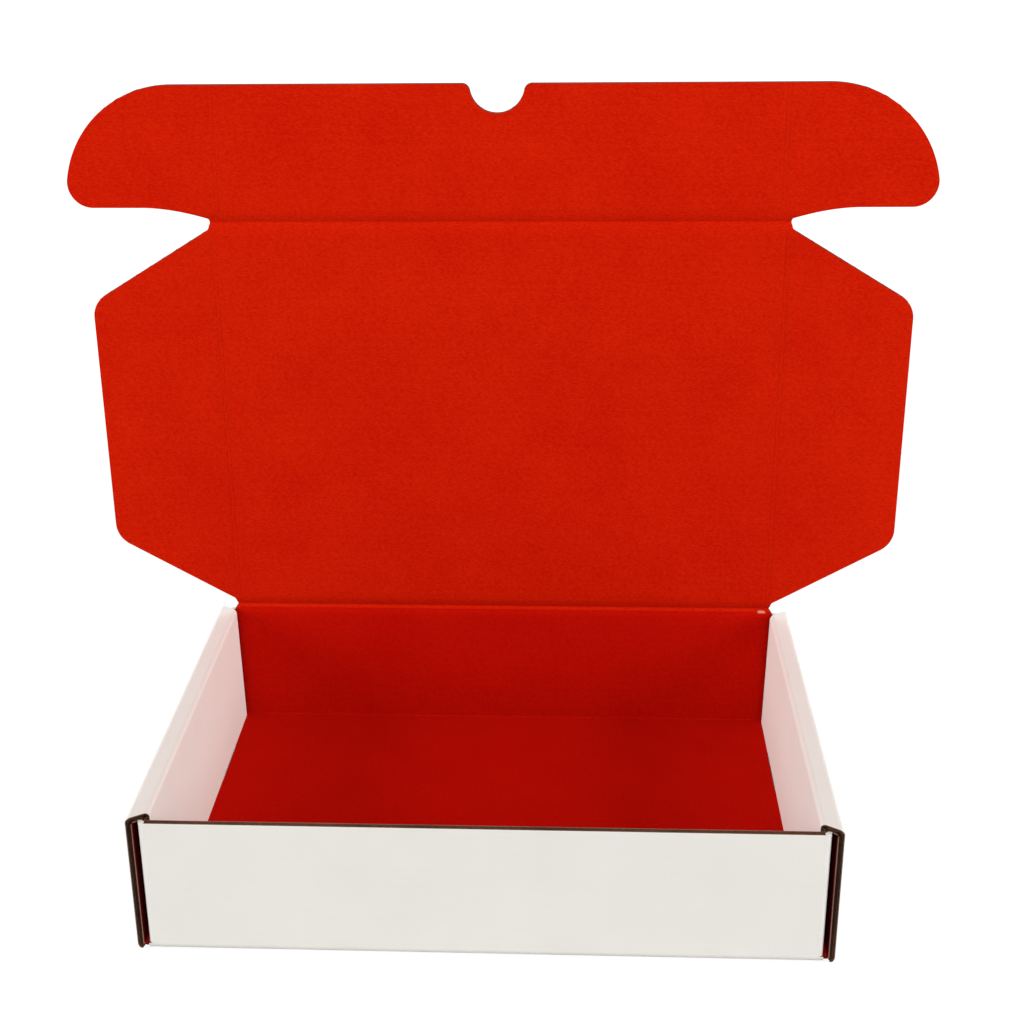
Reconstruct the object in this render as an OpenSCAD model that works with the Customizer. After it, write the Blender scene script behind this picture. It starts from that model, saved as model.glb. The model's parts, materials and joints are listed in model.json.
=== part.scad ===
// Roll-end mailer box folded from one sheet of corrugated board, with its lid standing open.
// Millimetres. X runs to the right, Y to the back, Z up. The origin is the middle of the
// underside, so the floor of the box lies on z = 0.

/* [Board] */
// Thickness of the corrugated board
board_t = 2.2; // [1.6:0.1:2.8]
// Outside radius of an upright fold and of the rolled top
fold_r = 1.8; // [0.8:0.1:2.4]
// Outside radius of the folds round the floor
floor_fold_r = 2.6; // [1:0.1:4]
// Distance that the board stands back from the axis of a moving crease
crease_gap = 0.15; // [0.1:0.05:0.25]

/* [Tray] */
// Width of the front wall over its corner folds
front_w = 224; // [160:1:320]
// Depth of the tray from the front face to the back face
tray_d = 162.5; // [130:0.5:240]
// Height of the side walls over their rolled top
side_h = 51.2; // [40:0.1:80]
// How far the front wall ends below the side walls
front_drop = 1.8; // [0.5:0.1:6]
// How far the corners of the back wall end below the side walls
back_drop = 0.8; // [0.3:0.1:4]
// Air between a corner fold and the outer panel of a side wall
corner_gap = 1.6; // [1:0.1:2.6]
// Air on each side of a corner tab inside a side wall
tab_play = 0.25; // [0.15:0.05:0.5]
// How far the foot of an inner panel stands inboard of its top
foot_in = 1; // [0:0.1:2.5]
// How far the inner panels end behind the front face, and before the back face
roll_back = 4.25; // [3:0.05:8]
// Width of the top edge that keeps its full length beside the outer fold
roll_lip = 0.8; // [0.4:0.1:1.6]

/* [Corner tabs] */
// Length of a corner tab, measured from the front or back face
tab_len = 47; // [30:1:60]
// Length over which a tab swings outwards to the middle of the side wall
tab_swing = 9.6; // [6:0.1:16]
// How much each long edge of a tab closes in towards its free end
tab_taper = 3.4; // [0:0.1:8]
// Corner radius of the free end of a tab
tab_r = 5; // [1:0.5:10]

/* [Locking tabs] */
// Length of each locking tab under an inner panel
lock_w = 27; // [12:1:36]
// Distance from the middle of the box to the middle of each locking tab
lock_y = 38; // [24:1:46]
// Air round a locking tab in its slot
lock_play = 0.3; // [0.2:0.05:0.6]
// How far a locking tab stays above the underside of the floor
lock_rise = 0.3; // [0.1:0.1:1]

/* [Lid] */
// Air between the closed lid and the side walls below it
lid_gap = 0.5; // [0.3:0.1:1.5]
// Play between the closed flaps and the walls or flaps beside them
fit_gap = 0.3; // [0.2:0.05:0.8]
// Distance that a crease of a lid corner stops short of the corner
crease_end = 1.2; // [0.6:0.1:3]

/* [Side flaps of the lid] */
// Depth of a side flap from its crease to its edge
flap_d = 48.4; // [25:0.1:50]
// How far a side flap widens from the back crease to the corner of its full depth
flap_back = 29.5; // [15:0.5:50]
// How far a side flap widens from the tuck crease to the corner of its full depth
flap_front = 31; // [15:0.5:50]
// Corner radius of a side flap
flap_r = 10; // [2:0.5:14]

/* [Tuck flap] */
// Air between the edge of the closed tuck flap and the floor
tuck_gap = 0.25; // [0.2:0.05:2]
// Radius of the thumb notch
notch_r = 10; // [6:0.5:14]
// How far the middle of the thumb notch lies below the edge
notch_sink = 0.5; // [0:0.1:2.5]
// Radius of the shoulders of the thumb notch
notch_shoulder = 3; // [2.6:0.1:6]

/* [Ears] */
// Reach of an ear from its crease to its tip
ear_reach = 56; // [48:0.5:60]
// Height of the lower edge of an ear above the tuck crease
ear_lift = 5.6; // [2:0.1:8]
// Distance from the ear crease to where its lower edge runs level
ear_slope = 8; // [4:0.5:14]
// Radius of the lower corner of an ear
ear_r = 9; // [3:0.5:12]
// Radius of the round upper edge of an ear
ear_top_r = 42; // [32:0.5:44]

/* [Hidden] */
outside = [0.91, 0.9, 0.87];
inside = [0.78, 0.1, 0.02];
half = board_t / 2;
arc_step = 9;
past = 1;
hair = 0.01;

// Tray: places of its faces on the right-hand side and at the front
face_y = tray_d / 2;
side_out = front_w / 2 + corner_gap + board_t;
roll_w = 3 * board_t + 2 * tab_play;
side_in = side_out - roll_w;
foot_x = side_in - foot_in;
front_h = side_h - front_drop;
back_h = side_h - back_drop;
inner_end = face_y - roll_back;
tab_out = side_out - board_t - tab_play;
tab_low = board_t + tab_play;
tab_high = side_h - board_t - tab_play;

// Lid: its axes, with the lid standing straight up
hinge_y = face_y - half;
hinge_z = side_h + lid_gap + half;
lid_len = tray_d - 2 * board_t - fit_gap;
flap_x = side_in - fit_gap - half;
ear_x = flap_x - board_t - fit_gap;
tuck_h = hinge_z - board_t - tuck_gap;
ear_tip = ear_x + ear_reach;

// Unit vector from a to b
function toward(a, b) = (b - a) / norm(b - a);

// Points of the arc of radius r that rounds corner b between a and c
function fillet(a, b, c, r) =
    let (u = toward(b, a), v = toward(b, c))
    let (h = acos(u * v) / 2, m = b + toward([0, 0], u + v) * r / sin(h))
    let (from = b + u * r / tan(h) - m, to = b + v * r / tan(h) - m)
    let (a0 = atan2(from[1], from[0]), turn = (atan2(to[1], to[0]) - a0 + 540) % 360 - 180)
    let (n = max(2, ceil(abs(turn) / arc_step)))
    [for (i = [0:n]) m + r * [cos(a0 + turn * i / n), sin(a0 + turn * i / n)]];

// Outline from corners given as [x, y, radius]
function rounded(p) =
    let (n = len(p), at = [for (q = p) [q[0], q[1]]])
    [for (i = [0:n - 1]) each p[i][2] > 0
        ? fillet(at[(i + n - 1) % n], at[i], at[(i + 1) % n], p[i][2])
        : [at[i]]];

// Points along an arc about c
function arc(c, r, a0, a1) =
    let (n = ceil(abs(a1 - a0) / arc_step))
    [for (i = [0:n]) c + r * [cos(a0 + (a1 - a0) * i / n), sin(a0 + (a1 - a0) * i / n)]];

// Both halves of the tray, or both ends of a wall
module both(axis) {
    children();
    mirror(axis) children();
}

// Profile of the right side wall, from its floor fold over the rolled top to the foot
module side_profile() {
    start = front_w / 2 + tab_play;
    lean = foot_in * (side_h - board_t) / side_h;
    polygon(rounded([
        [start, 0, 0],
        [side_out, 0, floor_fold_r],
        [side_out, side_h, fold_r],
        [side_in, side_h, fold_r],
        [foot_x, board_t, 0],
        [foot_x + board_t, board_t, 0],
        [foot_x + board_t + lean, side_h - board_t, 0],
        [side_out - board_t, side_h - board_t, 0],
        [side_out - board_t, board_t, 0],
        [start, board_t, 0],
    ]));
}

// Outline of a corner tab and its upright fold, seen from above at the front right corner
module tab_plan(air) {
    root = front_w / 2 - board_t;
    polygon(rounded([
        [root - air, -face_y, 0],
        [front_w / 2 + air, -face_y, fold_r],
        [front_w / 2 + air, board_t - face_y, 0],
        [tab_out + air, board_t + tab_swing - face_y, 0],
        [tab_out + air, tab_len + air - face_y, 0],
        [tab_out - board_t - air, tab_len + air - face_y, 0],
        [tab_out - board_t - air, board_t + tab_swing - face_y, 0],
        [root - air, board_t - face_y, 0],
    ]));
}

// Corner tab at the front right, with a wall of height wall_h at its root
module corner_tab(wall_h) {
    shoulder = 2 * board_t;
    intersection() {
        linear_extrude(side_h) tab_plan(0);
        rotate([90, 0, 90])
            linear_extrude(side_out)
                polygon(rounded([
                    [-face_y - past, tab_low, 0],
                    [shoulder - face_y, tab_low, 0],
                    [tab_len - face_y, tab_low + tab_taper, tab_r],
                    [tab_len - face_y, tab_high - tab_taper, tab_r],
                    [shoulder - face_y, tab_high, 0],
                    [board_t - face_y, wall_h, 0],
                    [-face_y - past, wall_h, 0],
                ]));
    }
}

// Wall of height wall_h folded up from the front edge of the floor
module end_wall(wall_h) {
    module profile(top)
        rotate([90, 0, 90])
            linear_extrude(front_w, center = true)
                polygon(rounded([
                    [2 * floor_fold_r - face_y, 0, 0],
                    [-face_y, 0, floor_fold_r],
                    [-face_y, top, 0],
                    [board_t - face_y, top, 0],
                    [board_t - face_y, board_t, 0],
                    [2 * floor_fold_r - face_y, board_t, 0],
                ]));
    intersection() {
        profile(wall_h);
        union() {
            translate([-front_w / 2, -face_y, 0]) cube([front_w, tray_d, tab_low]);
            translate([board_t - front_w / 2, -face_y, 0])
                cube([front_w - 2 * board_t, tray_d, side_h * 2]);
        }
    }
    both([1, 0, 0]) corner_tab(wall_h);
}

// Plan of what is cut away at the front end of the right side wall's top and inner panel
module roll_end() {
    translate([0, 0, side_h - board_t])
        linear_extrude(board_t + past)
            polygon([
                [side_out - roll_lip, -face_y - past],
                [side_out - roll_lip, -face_y],
                [side_in, -inner_end],
                [foot_x - past, -inner_end],
                [foot_x - past, -face_y - past],
            ]);
    translate([foot_x - past, -face_y - past, board_t])
        cube([side_out - board_t - foot_x + past, roll_back + past, side_h - 2 * board_t + hair]);
}

// Right side wall: outer panel, rolled top and inner panel
module side_wall() {
    difference() {
        rotate([90, 0, 0]) linear_extrude(tray_d, center = true) side_profile();
        both([0, 1, 0]) roll_end();
        both([0, 1, 0]) tab_air();
    }
    for (y = [-lock_y, lock_y])
        translate([foot_x, y - lock_w / 2, lock_rise]) cube([board_t, lock_w, board_t]);
}

// Room for a corner tab where it presses the end of an inner panel flat
module tab_air() {
    translate([0, 0, board_t])
        intersection() {
            linear_extrude(side_h - 2 * board_t) tab_plan(tab_play / 2);
            translate([0, -face_y, 0]) cube([side_out - board_t, tray_d, side_h]);
        }
}

// Floor with the four slots for the locking tabs
module floor_panel() {
    difference() {
        translate([-front_w / 2 - corner_gap, floor_fold_r - face_y, 0])
            cube([front_w + 2 * corner_gap, tray_d - 2 * floor_fold_r, board_t]);
        both([1, 0, 0])
            for (y = [-lock_y, lock_y])
                translate([foot_x - lock_play, y - lock_w / 2 - lock_play, -past])
                    cube([board_t + 2 * lock_play, lock_w + 2 * lock_play, board_t + 2 * past]);
    }
}

// Top of the back wall, pointed along the lid crease and sloping down beyond its ends
module hinge_edge() {
    top = hinge_z - crease_gap;
    root = front_w / 2 - board_t;
    low = back_h - board_t;
    intersection() {
        translate([0, hinge_y, 0])
            rotate([90, 0, 90])
                linear_extrude(2 * root, center = true)
                    polygon([[-half, low], [-half, top - half], [0, top], [half, top - half], [half, low]]);
        translate([0, face_y, 0])
            rotate([90, 0, 0])
                linear_extrude(board_t)
                    polygon([
                        [-root, low], [root, low], [root, back_h],
                        [flap_x - crease_end, top], [crease_end - flap_x, top], [-root, back_h],
                    ]);
    }
}

module tray() {
    color(outside) {
        floor_panel();
        end_wall(front_h);
        mirror([0, 1, 0]) end_wall(back_h);
        hinge_edge();
        both([1, 0, 0]) side_wall();
    }
}

// Lid coordinates: x across, y up from the back crease, z towards the inside of the box
module on_lid() {
    translate([0, hinge_y, hinge_z]) rotate([90, 0, 0]) children();
}

// Flat board of a given outline
module board(outline) {
    translate([0, 0, -half]) linear_extrude(board_t) polygon(outline);
}

// Board of endless length between two creases a and b across x, pointed at both
module between_creases(a, b) {
    size = 2 * (lid_len + tuck_h);
    rotate([90, 0, 0])
        linear_extrude(size, center = true)
            polygon([
                [a + crease_gap, 0],
                [a + crease_gap + half, half],
                [b - crease_gap - half, half],
                [b - crease_gap, 0],
                [b - crease_gap - half, -half],
                [a + crease_gap + half, -half],
            ]);
}

module lid_panel() {
    w = flap_x;
    e = crease_end;
    color(inside)
        on_lid()
            intersection() {
                board([
                    [e - w, 0], [w - e, 0], [w, e], [w, lid_len - e], [w - e, lid_len - crease_gap],
                    [ear_x, lid_len - crease_gap], [ear_x, lid_len], [-ear_x, lid_len],
                    [-ear_x, lid_len - crease_gap],
                    [e - w, lid_len - crease_gap], [-w, lid_len - e], [-w, e],
                ]);
                between_creases(-w, w);
                rotate([0, 0, 90]) between_creases(0, lid_len);
            }
}

// Right side flap of the lid
module side_flap() {
    color(inside)
        on_lid()
            intersection() {
                board(rounded([
                    [flap_x, crease_end, 0],
                    [flap_x + flap_d, flap_back, flap_r],
                    [flap_x + flap_d, lid_len - flap_front, flap_r],
                    [flap_x, lid_len - crease_end, 0],
                ]));
                between_creases(flap_x, flap_x + 2 * flap_d);
            }
}

// Edge of the tuck flap with the thumb notch, from right to left
function notch_edge() =
    let (reach = notch_r + notch_shoulder, drop = notch_shoulder - notch_sink)
    let (x = sqrt(reach * reach - drop * drop), tilt = atan2(drop, x))
    let (y = lid_len + tuck_h)
    concat(
        arc([x, y - notch_shoulder], notch_shoulder, 90, 180 - tilt),
        arc([0, y - notch_sink], notch_r, -tilt, tilt - 180),
        arc([-x, y - notch_shoulder], notch_shoulder, tilt, 90)
    );

module tuck_flap() {
    top = lid_len + tuck_h;
    color(inside)
        on_lid()
            intersection() {
                board(concat(
                    [[-ear_x, top], [-ear_x, lid_len], [ear_x, lid_len], [ear_x, top]],
                    notch_edge()
                ));
                between_creases(-ear_x, ear_x);
                rotate([0, 0, 90]) between_creases(lid_len, lid_len + 2 * tuck_h);
            }
}

// Edge of the right ear's tip: a small lower corner that runs smoothly into the round upper edge
function ear_edge() =
    let (low = [ear_tip - ear_r, lid_len + ear_lift + ear_r], y = lid_len + tuck_h - ear_top_r)
    let (rise = low[1] - y, reach = ear_top_r - ear_r)
    let (high = [low[0] - sqrt(reach * reach - rise * rise), y], meet = atan2(rise, low[0] - high[0]))
    concat(arc(low, ear_r, -90, meet), arc(high, ear_top_r, meet, 90));

// Right ear of the tuck flap
module ear() {
    color(inside)
        on_lid()
            intersection() {
                board(concat(
                    [
                        [ear_x, lid_len + tuck_h],
                        [ear_x, lid_len + crease_end],
                        [ear_x + ear_slope, lid_len + ear_lift],
                    ],
                    ear_edge()
                ));
                between_creases(ear_x, ear_x + 2 * ear_reach);
            }
}

module left_side_flap() {
    mirror([1, 0, 0]) side_flap();
}

module right_side_flap() {
    side_flap();
}

module left_ear() {
    mirror([1, 0, 0]) ear();
}

module right_ear() {
    ear();
}

tray();
lid_panel();
left_side_flap();
right_side_flap();
tuck_flap();
left_ear();
right_ear();
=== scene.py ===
"""Finishes a roll-end mailer box: printed liners, fluted paper between them, and the creases.

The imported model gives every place. Lengths in this file are millimetres, and become metres
where a mesh is made. X runs to the right, Y to the back, Z up, and the lid stands open.
"""

import json
import logging
import math
from dataclasses import dataclass, field, replace
from enum import Enum
from typing import Callable, Optional, Sequence, Union

import bmesh
import bpy
from mathutils import Matrix, Vector
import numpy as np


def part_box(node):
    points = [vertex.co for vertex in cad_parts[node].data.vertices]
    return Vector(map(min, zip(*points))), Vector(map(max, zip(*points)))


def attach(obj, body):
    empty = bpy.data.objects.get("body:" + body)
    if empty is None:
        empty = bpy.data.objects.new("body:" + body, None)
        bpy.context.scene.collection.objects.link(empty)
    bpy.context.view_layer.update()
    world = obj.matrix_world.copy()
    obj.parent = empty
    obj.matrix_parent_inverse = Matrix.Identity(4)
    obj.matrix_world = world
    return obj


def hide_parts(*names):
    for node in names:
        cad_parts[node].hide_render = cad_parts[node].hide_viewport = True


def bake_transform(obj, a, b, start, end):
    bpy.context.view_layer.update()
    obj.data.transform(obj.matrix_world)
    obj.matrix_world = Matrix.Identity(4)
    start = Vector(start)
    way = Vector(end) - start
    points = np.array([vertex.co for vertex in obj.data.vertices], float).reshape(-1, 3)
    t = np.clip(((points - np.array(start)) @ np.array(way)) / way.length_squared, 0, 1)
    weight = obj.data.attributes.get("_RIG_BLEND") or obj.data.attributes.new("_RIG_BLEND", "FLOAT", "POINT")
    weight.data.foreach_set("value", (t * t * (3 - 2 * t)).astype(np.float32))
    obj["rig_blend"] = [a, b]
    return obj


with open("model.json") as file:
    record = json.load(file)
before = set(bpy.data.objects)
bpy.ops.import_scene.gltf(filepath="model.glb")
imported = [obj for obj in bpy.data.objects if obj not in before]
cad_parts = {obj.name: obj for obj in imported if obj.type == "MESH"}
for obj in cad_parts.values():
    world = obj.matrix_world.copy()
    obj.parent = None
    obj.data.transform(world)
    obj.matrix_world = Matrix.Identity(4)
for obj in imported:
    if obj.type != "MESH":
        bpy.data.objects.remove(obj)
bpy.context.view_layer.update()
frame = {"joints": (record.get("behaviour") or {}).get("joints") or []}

MM = 0.001
LOG = logging.getLogger("mailer_box")

Point = tuple[float, float]
Outline = list[Point]
Colour = tuple[float, float, float]
Value = Union[bpy.types.NodeSocket, float]

FOLD_STEP = 9.0  # Degrees between two points round a fold.
FULL_TURN = 360.0
SEAM = 1e-6  # Metres within which the two skins of the fluted paper are joined.
LEVEL_STEP = 1e-4  # Levels of a panel that are closer than this are one.
MIX_FIRST, MIX_SECOND, MIX_RESULT = 6, 7, 2  # The colour sockets of a Mix node.


class Run(Enum):
    """The direction in which a strip of board keeps its cross-section."""

    X = "x"
    Y = "y"
    Z = "z"

    def place(self, section: Point, along: float) -> Vector:
        """Give the point in space of a point of the cross-section.

        Args:
            section: The point in the plane of the cross-section.
            along: Its place along the run.

        Returns:
            The point, in millimetres.
        """
        p, q = section
        if self is Run.X:
            return Vector((along, p, q))
        if self is Run.Y:
            return Vector((p, along, q))
        return Vector((p, q, along))


class Face(Enum):
    """The printed faces of the sheet, by the record's material slots."""

    WHITE = "white_liner"
    RED = "red_liner"


class Skin(Enum):
    """What a polygon of a liner shows. The values are material indices."""

    PRINT = 0
    BACK = 1
    CUT = 2
    # Painted shade: the red print hidden in a side wall's gap, painted dark.
    INSIDE = 3


@dataclass(frozen=True)
class Sizes:
    """Sizes of the box in millimetres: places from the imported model, and the sheet's own lengths."""

    board: float
    face_y: float
    side_out: float
    hinge_y: float
    hinge_z: float
    flap_x: float
    ear_x: float
    tuck_z: float
    top_z: float
    flap_out: float
    ear_tip: float
    fold_r: float = 1.8
    floor_fold_r: float = 2.6
    crease_gap: float = 0.15
    ear_slit: float = 0.03
    corner_gap: float = 1.6
    tab_play: float = 0.25
    foot_in: float = 1.0
    roll_back: float = 4.25
    roll_lip: float = 0.8
    front_drop: float = 1.8
    back_drop: float = 0.8
    lid_gap: float = 0.5
    tab_len: float = 47.0
    tab_swing: float = 9.6
    tab_taper: float = 3.4
    tab_r: float = 5.0
    lock_w: float = 27.0
    lock_y: float = 38.0
    lock_play: float = 0.3
    lock_rise: float = 0.3
    lip_play: float = 0.3
    lip_r: float = 2.2
    root_drop: float = 2.6
    root_r: float = 2.4
    flap_back: float = 29.5
    flap_front: float = 31.0
    flap_r: float = 10.0
    notch_r: float = 10.0
    notch_sink: float = 0.5
    notch_shoulder: float = 3.0
    ear_lift: float = 5.6
    ear_sweep: float = 26.0
    ear_r: float = 9.0
    ear_top_r: float = 42.0

    @classmethod
    def from_frame(cls, joints: Sequence[dict]) -> "Sizes":
        """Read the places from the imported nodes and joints.

        Args:
            joints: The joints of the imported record.

        Returns:
            The sizes of the box.
        """
        at = {j["name"]: [c / MM for c in j["pos_m"]] for j in joints}
        low, high = (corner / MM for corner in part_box("lid_panel"))
        tray_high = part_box("tray")[1] / MM
        return cls(
            board=high.y - low.y,
            face_y=tray_high.y,
            side_out=tray_high.x,
            hinge_y=at["lid_crease"][1],
            hinge_z=at["lid_crease"][2],
            flap_x=at["right_side_crease"][0],
            ear_x=at["right_ear_crease"][0],
            tuck_z=at["tuck_crease"][2],
            top_z=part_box("tuck_flap")[1].z / MM,
            flap_out=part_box("right_side_flap")[1].x / MM,
            ear_tip=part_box("right_ear")[1].x / MM,
        )

    @property
    def half(self) -> float:
        """Half of the board's thickness."""
        return self.board / 2

    @property
    def side_h(self) -> float:
        """Height of the side walls over their rolled top."""
        return self.hinge_z - self.half - self.lid_gap

    @property
    def front_h(self) -> float:
        """Height of the front wall."""
        return self.side_h - self.front_drop

    @property
    def back_h(self) -> float:
        """Height of the back wall's corners."""
        return self.side_h - self.back_drop

    @property
    def corner_x(self) -> float:
        """Half of the front wall's width over its corner folds."""
        return self.side_out - self.board - self.corner_gap

    @property
    def root_x(self) -> float:
        """Where the front wall ends and its corner fold begins."""
        return self.corner_x - self.board

    @property
    def side_in(self) -> float:
        """Inner face of a side wall at its top."""
        return self.side_out - 3 * self.board - 2 * self.tab_play

    @property
    def foot_x(self) -> float:
        """Inner face of a side wall at its foot."""
        return self.side_in - self.foot_in

    @property
    def roll_end(self) -> float:
        """Distance from the middle at which an inner panel ends."""
        return self.face_y - self.roll_back

    @property
    def tab_out(self) -> float:
        """Outer face of a corner tab inside a side wall."""
        return self.side_out - self.board - self.tab_play

    @property
    def crease_out(self) -> float:
        """Half of the length of the level creases, up to the notches at their ends."""
        return self.side_in - self.lip_play

    @property
    def band(self) -> float:
        """Half of the width that a moving crease takes up."""
        return self.half + self.crease_gap

    def lip(self, distance: float) -> float:
        """Give half of a level crease's length at a distance from its line, with its rounded ends."""
        across = min(abs(distance), self.band)
        return self.crease_out + self.lip_r - math.sqrt(self.lip_r**2 - across**2)

    def wave_at(self, z: float) -> float:
        """Give the distance over the sheet from the middle of the floor up a front or back wall."""
        radius = self.floor_fold_r
        return self.face_y - radius + (radius - self.half) * math.pi / 2 + z - radius


def arc(centre: Point, radius: float, start: float, end: float, step: float = 4.0) -> Outline:
    """Give points along an arc.

    Args:
        centre: The arc's centre.
        radius: Its radius.
        start: The angle at which it starts, in degrees.
        end: The angle at which it ends, in degrees.
        step: The largest angle between two points.

    Returns:
        The points, with both ends.
    """
    count = max(2, math.ceil(abs(end - start) / step))
    angles = [math.radians(start + (end - start) * i / count) for i in range(count + 1)]
    return [(centre[0] + radius * math.cos(a), centre[1] + radius * math.sin(a)) for a in angles]


def fillet(a: Point, corner: Point, b: Point, radius: float) -> Outline:
    """Give the arc that rounds a corner.

    Args:
        a: The point before the corner.
        corner: The corner.
        b: The point after it.
        radius: The arc's radius.

    Returns:
        The arc's points, from a's side to b's.
    """
    at = Vector(corner)
    to_a, to_b = (Vector(a) - at).normalized(), (Vector(b) - at).normalized()
    half_angle = to_a.angle(to_b) / 2
    middle = at + (to_a + to_b).normalized() * (radius / math.sin(half_angle))
    reach = radius / math.tan(half_angle)
    first, last = at + to_a * reach - middle, at + to_b * reach - middle
    start = math.degrees(math.atan2(first.y, first.x))
    turn = (math.degrees(math.atan2(last.y, last.x)) - start + 1.5 * FULL_TURN) % FULL_TURN - FULL_TURN / 2
    return arc((middle.x, middle.y), radius, start, start + turn)


def chord(outline: Outline, level: float) -> tuple[float, float]:
    """Give where a line of constant second coordinate enters and leaves an outline.

    Args:
        outline: A closed outline that such a line crosses once.
        level: The line's second coordinate.

    Returns:
        The lowest and highest first coordinate inside the outline.
    """
    found = []
    for (x0, y0), (x1, y1) in zip(outline, outline[1:] + outline[:1]):
        if min(y0, y1) <= level <= max(y0, y1):
            if y1 == y0:
                found += [x0, x1]
            else:
                found.append(x0 + (x1 - x0) * (level - y0) / (y1 - y0))
    return min(found), max(found)


def add_maths(tree: bpy.types.NodeTree, operation: str, *values: Value) -> bpy.types.NodeSocket:
    """Add a Math node.

    Args:
        tree: The tree to add it to.
        operation: What it does.
        values: Sockets or numbers for its inputs.

    Returns:
        Its result.
    """
    node = tree.nodes.new("ShaderNodeMath")
    node.operation = operation
    for socket, value in zip(node.inputs, values):
        if isinstance(value, bpy.types.NodeSocket):
            tree.links.new(value, socket)
        else:
            socket.default_value = value
    return node.outputs[0]


def between(value: float, low: float, high: float) -> float:
    """Keep a value between two limits."""
    return max(low, min(high, value))


@dataclass(frozen=True)
class Station:
    """One line across a strip of board, from its red face to its white face."""

    red: Point
    white: Point
    low: float
    high: float
    wave: float = 0.0
    capped: bool = False

    def toward(self, other: "Station", share: float) -> "Station":
        """Give the station that lies between this one and another.

        Args:
            other: The other station.
            share: How far towards it, from 0 to 1.

        Returns:
            The station in between.
        """

        def mix(a: float, b: float) -> float:
            """Blend two numbers by the share."""
            return a + (b - a) * share

        return Station(
            (mix(self.red[0], other.red[0]), mix(self.red[1], other.red[1])),
            (mix(self.white[0], other.white[0]), mix(self.white[1], other.white[1])),
            mix(self.low, other.low),
            mix(self.high, other.high),
            mix(self.wave, other.wave),
        )


Press = Callable[[float, Station], Point]


def no_press(_along: float, _station: Station) -> Point:
    """Leave both faces of the board as they are."""
    return 0.0, 0.0


@dataclass(frozen=True)
class Strip:
    """A length of board that keeps one cross-section: a flat panel, a fold or a rolled edge."""

    run: Run
    stations: Sequence[Station]
    steps: Sequence[float] = ()
    wave_along: Optional[Point] = None
    press: Press = no_press
    crush: float = 1.0
    # True where the red face lies hidden in a wall and shows the painted gap shade.
    enclosed_painted_shade: bool = False
    cap: Optional[Face] = None
    sides: tuple[int, int] = (1, 1)

    def mirrored(self, x: int = 1, y: int = 1) -> "Strip":
        """Give the strip's mirror image across the middle of the box."""
        return replace(self, sides=(self.sides[0] * x, self.sides[1] * y))

    def columns(self, step: float = 0.0) -> list[float]:
        """Give the places along the run at which points are put.

        Args:
            step: The distance between them, or 0 to use the strip's own.

        Returns:
            The places, with both ends of the longest station.
        """
        low, high = min(s.low for s in self.stations), max(s.high for s in self.stations)
        if step:
            count = max(1, math.ceil((high - low) / step))
            return [low + (high - low) * i / count for i in range(count + 1)]
        return [low, *(s for s in sorted(self.steps) if low < s < high), high]

    def wave(self, along: float, station: Station) -> float:
        """Give the distance over the sheet, across its flutes, of a point."""
        if self.wave_along is None:
            return station.wave
        return self.wave_along[0] + self.wave_along[1] * along

    def faces(self, along: float, station: Station) -> tuple[Vector, Vector]:
        """Give the points of the red and the white face at one place.

        Args:
            along: The place along the run.
            station: The station across it.

        Returns:
            The red face's point and the white face's.
        """
        red, white = self.run.place(station.red, along), self.run.place(station.white, along)
        across = (white - red).normalized()
        from_red, from_white = self.press(along, station)
        red, white = red + across * from_red, white - across * from_white
        mirror = Vector((self.sides[0], self.sides[1], 1))
        return red * mirror, white * mirror


@dataclass(frozen=True)
class Paper:
    """Thicknesses of the papers in the board, in millimetres, and the pitch of its flutes."""

    liner: float = 0.36
    medium: float = 0.2
    pitch: float = 3.26
    samples: int = 12


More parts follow.
